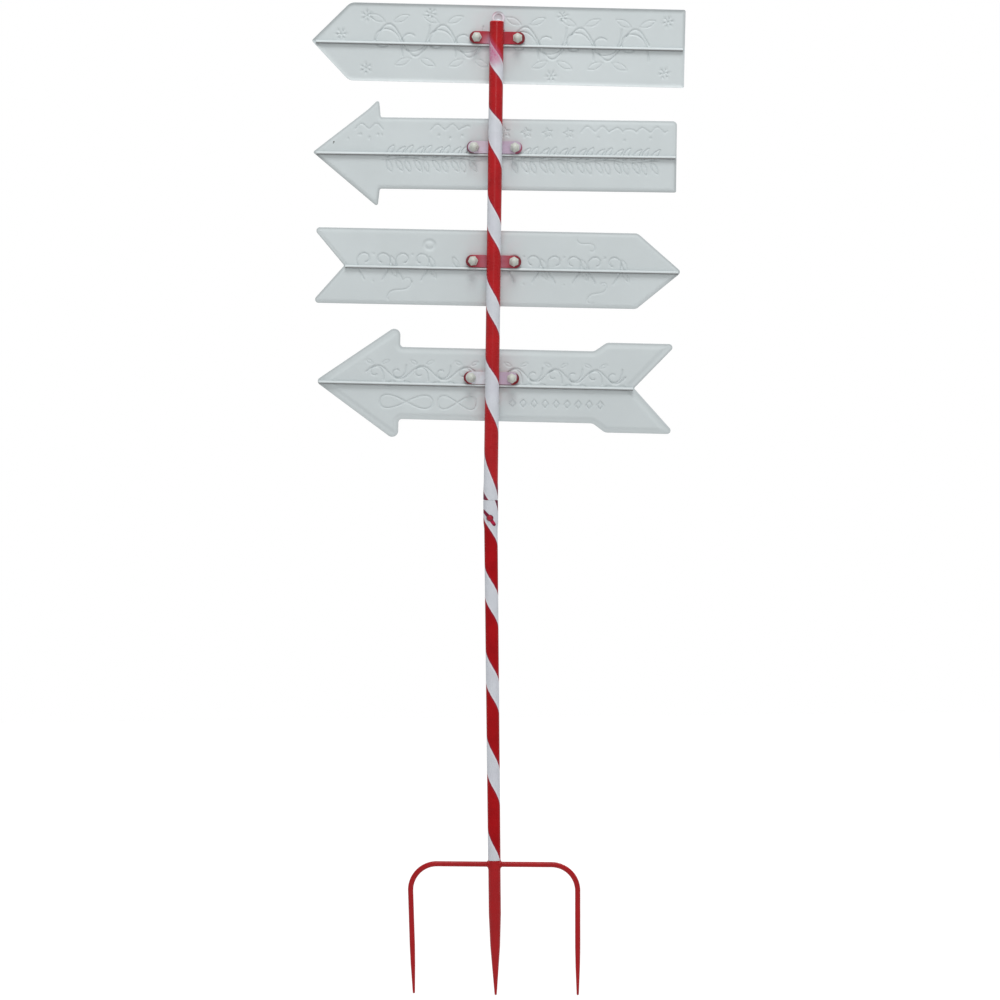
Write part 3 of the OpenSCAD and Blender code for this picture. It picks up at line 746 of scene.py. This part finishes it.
# Where the pressed border begins, how wide its slope is, and where the ornaments may begin
BORDER = [None, (2.3, 2.2), (2.3, 2.2), (2.6, 5.0)]
ORNAMENT_MARGIN = [4.0, 4.0, 4.0, 8.0]

# Sign 4's border is wider at its slanted ends, left of the first x and right of the second
SLANT_EXTRA = 2.4
SLANT_X = (-111, 163)
SLANT_HALF_H = 50

# Darker line round each sheet, painted shade where its edge is turned or pressed: its strength and reach,
# first at the sheet's top and then at its foot
RIM = [
    ((0.22, 4.0), (0.0, 1.0)),
    ((0.18, 2.4), (0.34, 3.6)),
    ((0.22, 2.4), (0.22, 3.6)),
    ((0.20, 2.8), (0.12, 4.2)),
]


def sheet_face(i, away):
    """Height of a sheet's back face over its field, from the distance to its edge."""
    if LIP_H[i]:
        return LIP_H[i] * np.clip(1 - away / LIP_WIDTH, 0, 1) ** 2
    start, width = BORDER[i]
    return -BORDER_H[i] * (1 - smoothstep((away - start) / width))


def rim_shade(i, away, level):
    """Share of the rim's painted shade at a distance from the edge and a height over the middle line."""
    top, foot = (
        strength * smoothstep((reach - away) / (reach - 1.0)) if strength else 0 * away
        for strength, reach in RIM[i]
    )
    upper = smoothstep((level + 5) / 10)
    return top * upper + foot * (1 - upper)


def wider_border(i, wall):
    """Extra width of the border along each segment of the edge."""
    if i < 3:
        return None
    x, y = ((wall[:-1] + wall[1:]) / 2).T
    slanted = (x < SLANT_X[0]) | ((x > SLANT_X[1]) & (np.abs(y + SIGN_DROP) < SLANT_HALF_H))
    return np.where(slanted, SLANT_EXTRA, 0.0)


def field_points(loop, wall):
    """Points inside a sheet's rounded edge: a staggered grid, and rows where it is turned or pressed."""
    low, high = wall.min(0), wall.max(0)
    gx, gy = np.meshgrid(
        np.arange(low[0] + GRID / 2, high[0], GRID), np.arange(low[1] + GRID / 2, high[1], GRID)
    )
    gx[1::2] += GRID / 2
    pts = np.stack([gx.ravel(), gy.ravel()], 1)
    pts = pts[inside(pts, loop(EDGE_EASE))]
    reach = 8.0
    pts = pts[segment_distance(pts, wall, reach) > GRID_MARGIN]
    for inset in ROW_INSETS:
        row = loop(inset)
        row = row[np.abs(segment_distance(row, wall, reach) - inset) < 0.1]
        kept = [row[0]]
        for point in row[1:]:
            if min(np.hypot(*(point - kept[-1])), np.hypot(*(point - kept[0]))) > LEAST_SPACING:
                kept.append(point)
        pts = np.vstack([pts, kept])
    return pts


def relief(i, flat, away):
    """Depth of the pressed ornaments of sign i at each point of its face."""
    depth_at = np.zeros(len(flat))
    inner = smoothstep((away - ORNAMENT_MARGIN[i]) / 2.0)
    for line, width, depth in ORNAMENTS[i]():
        d = segment_distance(flat, line, width / 2)
        groove = 0.5 + 0.5 * np.cos(math.pi * np.clip(d / (width / 2), 0, 1))
        depth_at += np.where(d < width / 2, depth * groove, 0) * inner
    return depth_at


def plate(i, material):
    """Pressed sheet of sign i: turned lip or sunk border, and ornaments that stand proud in front."""
    corners = [(x, y - SIGN_DROP, r) for x, y, r in OUTLINES[i]]
    plan = split_long(ring(corners, 0.0), SPLIT_LENGTH)

    def loop(inset):
        return apply_split(ring(corners, inset), plan)

    outer = loop(0.0)
    wall = np.vstack([outer, outer[:1]])
    field_ring = loop(EDGE_EASE)
    nb = len(field_ring)
    coords = [Vector(p) for p in np.vstack([field_ring, field_points(loop, wall)])]
    edges = [(k, (k + 1) % nb) for k in range(nb)]
    flat, _, tris, *_ = delaunay_2d_cdt(coords, edges, [], 1, 1e-5)
    flat = np.array([tuple(p) for p in flat])
    assert len(flat) == len(coords), "the triangles use other points than those of the sheet"

    reach = 14.0
    away = segment_distance(flat, wall, reach)
    height = sheet_face(i, segment_distance(flat, wall, reach, wider_border(i, wall)))
    height -= relief(i, flat, away)
    # Painted shade along the rim, carried to the material as the mesh attribute rim
    painted_rim_shade = rim_shade(i, away, flat[:, 1] + SIGN_DROP)

    # The back face, the rounded edge from back to front, and the front face
    verts = [np.column_stack([flat, height])]
    shades = [painted_rim_shade]
    loops = [np.arange(nb)]
    total = len(flat)
    insets = EDGE_EASE * (1 - np.cos(EDGE_TURNS))
    drops = SHEET_T / 2 * (1 - np.sin(EDGE_TURNS))
    for inset, drop in zip(insets, drops):
        z = sheet_face(i, np.array([inset]))[0] - drop
        verts.append(np.column_stack([loop(inset), np.full(nb, z)]))
        shades.append(painted_rim_shade[:nb])
        loops.append(np.arange(total, total + nb))
        total += nb
    verts.append(np.column_stack([flat, height - SHEET_T]))
    shades.append(painted_rim_shade)
    loops.append(np.arange(total, total + nb))

    faces = []
    for a, b, c in tris:
        if cross(flat[b] - flat[a], flat[c] - flat[a]) < 0:
            b, c = c, b
        faces.append((a, b, c))
        faces.append((total + a, total + c, total + b))
    ccw = signed_area(corners) > 0
    for la, lb in zip(loops[:-1], loops[1:]):
        for k in range(nb):
            m = (k + 1) % nb
            quad = (int(la[k]), int(lb[k]), int(lb[m]), int(la[m]))
            faces.append(quad[::-1] if ccw else quad)
    points = to_world(sign_frame(i), np.vstack(verts))
    obj = mesh_object(f"sign{i + 1}_plate", points, faces, material, {"rim": np.concatenate(shades)})
    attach(obj, "root")
    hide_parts(f"sign{i + 1}_sheet")


# Cap nuts: points round one, how much its lower edge is eased, and radius of the dome's last ring
NUT_AROUND = 72
NUT_EDGE = 0.15
DOME_TIP_R = 0.45


def cap_nut(i, side, material):
    """Cap nut with its corners turned off, a blind bore for the bolt and a smooth dome."""
    turn = NUT_TURN[i][0 if side < 0 else 1]
    angles = np.radians(turn + np.linspace(0, 360, NUT_AROUND, endpoint=False))
    flat_turn = np.radians((np.degrees(angles) - turn) % 60 - 30)
    hexagon = NUT_AF / 2 / np.cos(flat_turn)
    corner = NUT_AF / 2 / math.cos(math.radians(30))
    bore, dome = BOLT_D / 2 + SLIP, NUT_DOME_D / 2
    bore_end = NUT_HEX_H + 1
    rings = [(bore_end, bore), (0, bore), (0, hexagon - NUT_EDGE), (NUT_EDGE, hexagon)]
    for z in np.linspace(NUT_HEX_H - NUT_CHAMFER, NUT_HEX_H, 7):
        share = (z - NUT_HEX_H + NUT_CHAMFER) / NUT_CHAMFER
        cone = corner - share * (corner - NUT_AF / 2 + NUT_EDGE)
        rings.append((z, np.minimum(hexagon, cone)))
    rings += [(NUT_HEX_H + 0.02, dome + 0.25), (NUT_HEX_H + 0.3, dome)]
    top = NUT_H - dome
    rings += [(top + dome * math.sin(a), dome * math.cos(a)) for a in np.radians(np.arange(0, 86, 9))]
    rings.append((NUT_H - 0.01, DOME_TIP_R))
    verts = []
    for z, r in rings:
        r = np.broadcast_to(r, NUT_AROUND)
        verts.append(np.column_stack([r * np.cos(angles), r * np.sin(angles), np.full(NUT_AROUND, z)]))
    verts.append([[0, 0, bore_end], [0, 0, NUT_H]])
    faces = []
    for k in range(len(rings) - 1):
        faces += [quad[::-1] for quad in band(k, k + 1, NUT_AROUND)]
    last = (len(rings) - 1) * NUT_AROUND
    tip = len(rings) * NUT_AROUND
    for j in range(NUT_AROUND):
        m = (j + 1) % NUT_AROUND
        faces.append((j, m, tip))
        faces.append((last + m, last + j, tip + 1))
    place = sign_frame(i) @ Matrix.Translation((side * BOLT_SPACING / 2, 0, STRAP_T))
    word = "left" if side < 0 else "right"
    obj = mesh_object(f"sign{i + 1}_cap_nut_{word}", to_world(place, np.vstack(verts)), faces, material)
    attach(obj, "root")
    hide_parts(f"sign{i + 1}_nut_{word}")


# Tubes of the pole: points round one, steps along it, coarse and fine, and how its rims are eased
TUBE_AROUND = 96
TUBE_STEP, FINE_STEP = 4.0, 0.9
RIM_EASE = 0.35

# Distance square to the stripe's edge for each millimetre of height, and the distance that stands
# for a place far from every stripe, or from every streak
STRIPE_SLOPE = 0.45
FAR_OFF = -60.0
NO_STREAK = -9.0

# Where the upper stripe's paint begins to thin, how much higher that is for each millimetre to the
# right, and over what height it thins
THIN_Z, THIN_LEAN, THIN_BLEND = 484, 0.5, 19

# Dark streak over the rivet, in two parts, as (start, end, radius at the start, radius at the end)
# with places measured from the rivet. The tube's points lie closer down to STREAK_ZONE under the seam
STREAK_END = (5.0, -7.4)
STREAKS = [((-7.1, 8.4), (0, 0), 1.5, 2.2), ((0, 0), STREAK_END, 2.3, 1.9)]
STREAK_ZONE = 34


def stripe_distance(angle, z, stripe, seam):
    """Distance inside the white stripe, in millimetres square to its edge, negative on the red."""
    lines = []
    for edges in stripe:
        turns = [k - 1 + side * STRIPE_SIDE for k in range(len(edges)) for side in (-1, 1)]
        heights = [seam + h - side * drop for h, drop in edges for side in (-1, 1)]
        lines.append((turns, heights))
    (top_t, top_z), (end_t, end_z) = lines
    best = np.full(len(z), FAR_OFF)
    for n in range(-1, len(stripe[0]) - 1):
        t = angle / 360 + n
        under_top = np.interp(t, top_t, top_z) - z
        over_end = z - np.interp(t, end_t, end_z)
        d = np.minimum(under_top, over_end) * STRIPE_SLOPE
        best = np.maximum(best, np.where(t < -0.5, FAR_OFF, d))
    return best


def stripe_attributes(angle, z, radius, stripe, seam):
    """Mesh attributes of a striped tube, without thin paint or streaks, and the places across its back."""
    turn = np.radians(angle)
    across = radius * np.sin(turn)
    level = z - seam
    # Near the seam the red toward both sides of the tube is darkened: painted shade on its sides
    dusk = smoothstep((np.abs(across) - 3.0) / 3.0) * smoothstep((26 - level) / 20)
    dusk *= smoothstep((level + 20) / 4) * smoothstep(np.cos(turn) * 3 + 1)
    values = {
        "edge": stripe_distance(angle, z, stripe, seam),
        "thin": np.zeros(len(z)),
        "dusk": dusk,
        "streak": np.full(len(z), NO_STREAK),
        "streak_tone": np.zeros(len(z)),
    }
    return values, across


def upper_attributes(angle, z, radius):
    """The first turn of the upper stripe is thin at its upper left."""
    values, across = stripe_attributes(angle, z, radius, UPPER_STRIPE, 0.0)
    values["thin"] = smoothstep((z - THIN_Z - THIN_LEAN * across) / THIN_BLEND)
    return values


def lower_attributes(angle, z, radius):
    """A streak runs down over the rivet on the lower stripe, maroon above and crimson below it."""
    values, across = stripe_attributes(angle, z, radius, LOWER_STRIPE, SEAM_Z)
    behind = np.cos(np.radians(angle)) > 0
    p = np.stack([across - RIVET_X, z - RIVET_Z], 1)
    values["streak_tone"] = smoothstep(-p[:, 1] / 2.0) * smoothstep((p[:, 1] - STREAK_END[1]) / 1.2)
    for a, b, ra, rb in STREAKS:
        a, b = np.array(a), np.array(b)
        ab = b - a
        t = np.clip(((p - a) @ ab) / (ab @ ab), 0, 1)
        away = np.hypot(*(p - a - t[:, None] * ab).T)
        streak = np.where(behind, ra + (rb - ra) * t - away, NO_STREAK)
        values["streak"] = np.maximum(values["streak"], streak)
    return values


def tube_path(steps, dense=()):
    """Closed section of a tube as (z, radius), up its outside with eased rims and down its bore.

    Steps hold the outside. Between the heights of each pair in dense, the points lie closer.
    """
    profile = []
    for (z0, r0), (z1, r1) in zip(steps[:-1], steps[1:]):
        spots = [z0]
        while spots[-1] < z1 - 0.01:
            fine = any(a - 1 <= spots[-1] <= b for a, b in dense)
            spots.append(min(z1, spots[-1] + (FINE_STEP if fine else TUBE_STEP)))
        profile += [(z, r0 + (r1 - r0) * (z - z0) / (z1 - z0)) for z in spots[:-1]]
    z_low, r_low = steps[0]
    z_high, r_high = steps[-1]
    path = [(z_low, r_low - TUBE_WALL), (z_low, r_low - RIM_EASE), (z_low + RIM_EASE, r_low)]
    path += [p for p in profile if z_low + 1 < p[0] < z_high - 1]
    path += [(z_high - RIM_EASE, r_high), (z_high, r_high - RIM_EASE), (z_high, r_high - TUBE_WALL)]
    path += [(z, r - TUBE_WALL) for z, r in reversed(steps[1:-1])]
    return path


def tube(name, path, matrix, material, attributes, nodes):
    """Painted tube from its closed section. The attributes are a function of angle, height and radius."""
    angle = np.tile(np.linspace(0, 360, TUBE_AROUND, endpoint=False), len(path))
    z, r = np.repeat(np.array(path, float), TUBE_AROUND, axis=0).T
    turn = np.radians(angle)
    points = np.stack([r * np.sin(turn), -r * np.cos(turn), z], 1)
    faces = []
    for k in range(len(path)):
        faces += band(k, (k + 1) % len(path), TUBE_AROUND)
    obj = mesh_object(name, to_world(matrix, points), faces, material, attributes(angle, z, r))
    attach(obj, "root")
    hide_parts(*nodes)


# Pieces that replace CAD solids
sheet = sheet_paint()
for i in SIGNS:
    plate(i, sheet)

upper_path = tube_path([
    (0, BELL_D / 2), (UPPER_BELL, BELL_D / 2),
    (UPPER_BELL + BELL_CONE, UPPER_D / 2), (UPPER_LEN, UPPER_D / 2),
])
# The same red, lighter on the upper tube and the cap and darker on the lower tube and the fork: painted
# light and shade down the pole
upper_paint = striped_paint("upper_paint", scaled(RED, 1.05), 0.26)
tube("upper_tube", upper_path, UPPER_FRAME, upper_paint, upper_attributes, ["upper_pole", "upper_stripe"])

lower_path = tube_path([
    (COLLAR_H, LOWER_FOOT_D / 2), (SEAM_Z - LOWER_BELL - BELL_CONE, LOWER_HEAD_D / 2),
    (SEAM_Z - LOWER_BELL, BELL_D / 2), (SEAM_Z, BELL_D / 2),
], dense=[(SEAM_Z - STREAK_ZONE, SEAM_Z)])
lower_paint = striped_paint("lower_paint", scaled(RED, 0.93), 0.06)
lower_frame = Matrix.Identity(4)
tube("lower_tube", lower_path, lower_frame, lower_paint, lower_attributes, ["lower_pole", "lower_stripe"])

nut = plain_paint("nut_paint", NUT, rough=(0.30, 0.40))
for i in SIGNS:
    for side in (-1, 1):
        cap_nut(i, side, nut)

# Paints of the CAD solids that stay
# Painted shade darkens the fork's red and painted light lightens the cap's red
red = plain_paint("red_paint", scaled(RED, 0.95), rough=(0.30, 0.42), specular=0.2)
cap = plain_paint("cap_paint", scaled(RED, 1.12), rough=(0.26, 0.36), specular=0.35)
rivet = rivet_paint()
eye = eye_paint()
rod = rod_paint()
steel = bare_steel()
straps = [strap_paint(i) for i in SIGNS]


def dress(node, material):
    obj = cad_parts[node]
    obj.data.materials.clear()
    obj.data.materials.append(material)


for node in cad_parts:
    if node in ("centre_spike", "fork_bar") or node.startswith("fork_weld"):
        dress(node, red)
    elif node == "top_cap":
        dress(node, cap)
    elif node == "joint_rivet":
        dress(node, rivet)
    elif node == "joint_sleeve":
        dress(node, steel)
    elif node == "hanging_eye":
        dress(node, eye)
    elif "_bolt_" in node or "_nut_" in node:
        dress(node, nut)
    elif node.endswith("_rod"):
        dress(node, rod)
    elif node.endswith("_strap"):
        dress(node, straps[int(node[len("sign")]) - 1])

# Floor, light and camera
FLOOR_SIZE, FLOOR_GAP = 12, 0.5 * MM
FLOOR_GREY, FLOOR_GLOW, FLOOR_GLOW_SHARE = 0.75, 1.16, 0.8
WORLD_LIGHT, WORLD_SEEN = 0.57, 1.0

scene = bpy.context.scene
scene.view_settings.view_transform = "Standard"


def floor_material():
    """Light grey that takes the object's shadow, and mostly glows to the camera and in reflections."""
    mat = bpy.data.materials.new("floor")
    mat.use_nodes = True
    nodes, links = mat.node_tree.nodes, mat.node_tree.links
    nodes.clear()
    out = nodes.new("ShaderNodeOutputMaterial")
    mix = nodes.new("ShaderNodeMixShader")
    diffuse = nodes.new("ShaderNodeBsdfDiffuse")
    diffuse.inputs["Color"].default_value = (FLOOR_GREY, FLOOR_GREY, FLOOR_GREY, 1)
    glow = nodes.new("ShaderNodeEmission")
    glow.inputs["Strength"].default_value = FLOOR_GLOW
    path = nodes.new("ShaderNodeLightPath")
    either = nodes.new("ShaderNodeMath")
    either.operation = "MAXIMUM"
    share = nodes.new("ShaderNodeMath")
    share.operation = "MULTIPLY"
    share.inputs[1].default_value = FLOOR_GLOW_SHARE
    links.new(path.outputs["Is Camera Ray"], either.inputs[0])
    links.new(path.outputs["Is Glossy Ray"], either.inputs[1])
    links.new(either.outputs[0], share.inputs[0])
    links.new(share.outputs[0], mix.inputs[0])
    links.new(diffuse.outputs[0], mix.inputs[1])
    links.new(glow.outputs[0], mix.inputs[2])
    links.new(mix.outputs[0], out.inputs[0])
    return mat


bpy.ops.mesh.primitive_plane_add(size=FLOOR_SIZE, location=(0, 0, cad_box[0][2] - FLOOR_GAP))
floor = bpy.context.object
floor.name = "floor"
floor.data.materials.append(floor_material())


def studio_world():
    """White world, brighter to the camera than as a light."""
    world = bpy.data.worlds.new("studio")
    world.use_nodes = True
    nodes, links = world.node_tree.nodes, world.node_tree.links
    path = nodes.new("ShaderNodeLightPath")
    level = nodes.new("ShaderNodeMapRange")
    level.inputs["To Min"].default_value = WORLD_LIGHT
    level.inputs["To Max"].default_value = WORLD_SEEN
    background = nodes["Background"]
    background.inputs["Color"].default_value = (1, 1, 1, 1)
    links.new(path.outputs["Is Camera Ray"], level.inputs["Value"])
    links.new(level.outputs["Result"], background.inputs["Strength"])
    return world


def area(name, place, aim, size, power):
    lamp = bpy.data.lights.new(name, "AREA")
    lamp.shape = "RECTANGLE"
    lamp.size, lamp.size_y = size
    lamp.energy = power
    obj = bpy.data.objects.new(name, lamp)
    obj.location = place
    obj.rotation_euler = (Vector(aim) - Vector(place)).to_track_quat("-Z", "Y").to_euler()
    scene.collection.objects.link(obj)


scene.world = studio_world()
area("key", place=(0.15, -1.35, 3.25), aim=(0, 0, 0.55), size=(1.1, 0.9), power=46)
area("fill", place=(1.2, 2.6, 2.2), aim=(0, 0, 0.4), size=(1.4, 1.4), power=50)
# A narrow light that gives the pole its highlight
area("front", place=(0.10, -3.2, 1.42), aim=(0, 0, 0.9), size=(0.10, 0.60), power=8)

# The photo's frame: its size in pixels, the size of a pixel, how far it is rolled, as the lower pole
# leans a little to the left in it, and the pixel where the pole's axis meets the fork bar
PHOTO_SIZE = 1000
PIXEL_MM = 1.13
ROLL = math.radians(0.589)
BAR_PIXEL = (494.4, 864.2)
CAMERA_DISTANCE = 4.7
SENSOR = 36


def photo_camera():
    """Camera square on to the back, with the photo's scale, roll and frame."""
    pixel = PIXEL_MM * MM
    origin = (BAR_PIXEL[0], BAR_PIXEL[1] + BAR_Z / PIXEL_MM)
    right = Vector((math.cos(ROLL), 0, -math.sin(ROLL)))
    up = Vector((math.sin(ROLL), 0, math.cos(ROLL)))
    backward = Vector((0, -1, 0))
    aim = right * (PHOTO_SIZE / 2 - origin[0]) * pixel - up * (PHOTO_SIZE / 2 - origin[1]) * pixel
    data = bpy.data.cameras.new("camera")
    data.sensor_width = SENSOR
    data.lens = SENSOR * CAMERA_DISTANCE / (PHOTO_SIZE * pixel)
    data.clip_end = 50
    camera = bpy.data.objects.new("camera", data)
    look = Matrix((right, up, backward)).transposed().to_4x4()
    camera.matrix_world = Matrix.Translation(aim + backward * CAMERA_DISTANCE) @ look
    scene.collection.objects.link(camera)
    return camera


scene.camera = photo_camera()
